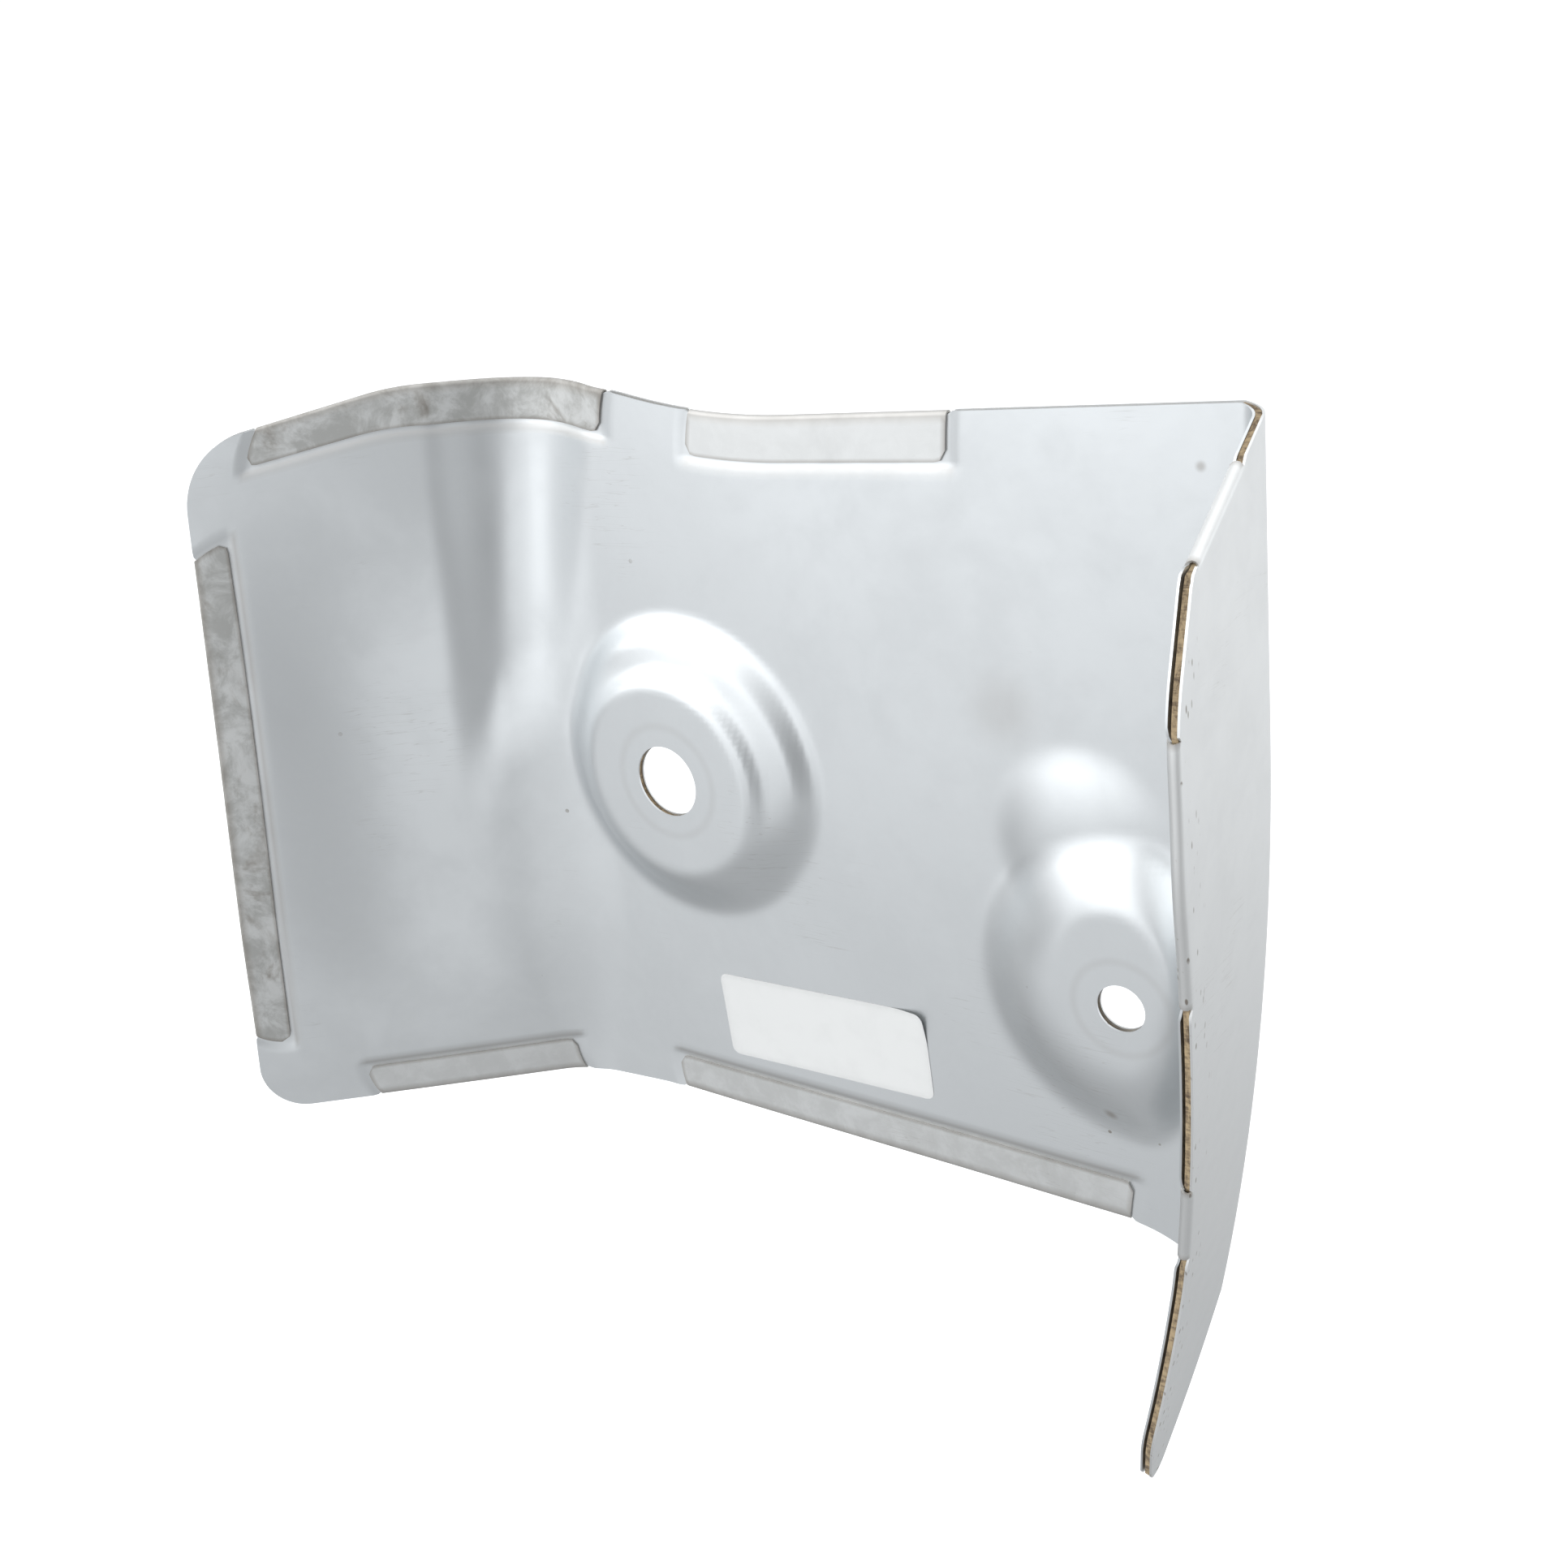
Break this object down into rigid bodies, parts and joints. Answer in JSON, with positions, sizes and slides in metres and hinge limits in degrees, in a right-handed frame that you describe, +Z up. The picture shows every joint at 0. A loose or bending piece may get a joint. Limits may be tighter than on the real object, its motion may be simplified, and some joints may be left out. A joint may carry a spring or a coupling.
{
  "type": "heat shield",
  "caption": "Pressed sandwich heat shield with a folded flange and an angled wing, bolted through raised bosses to keep exhaust heat off nearby parts.",
  "frame": {"origin": "centre of the bolt hole beside the flange, on the face that the bolt head seats on", "axes": "+X across the panel from the wing to the flange, +Y through the panel away from the bolt head, +Z up the panel"},
  "size_m": [0.2301, 0.0532, 0.2028],
  "materials": {
    "outer_sheet": "satin",
    "inner_sheet": "satin",
    "insulation_mat": "fibrous",
    "label": "matte"
  },
  "bodies": {
    "root": {"outer_sheet": "outer_sheet", "inner_sheet": "inner_sheet", "insulation_mat": "insulation_mat"}
  },
  "joints": []
}
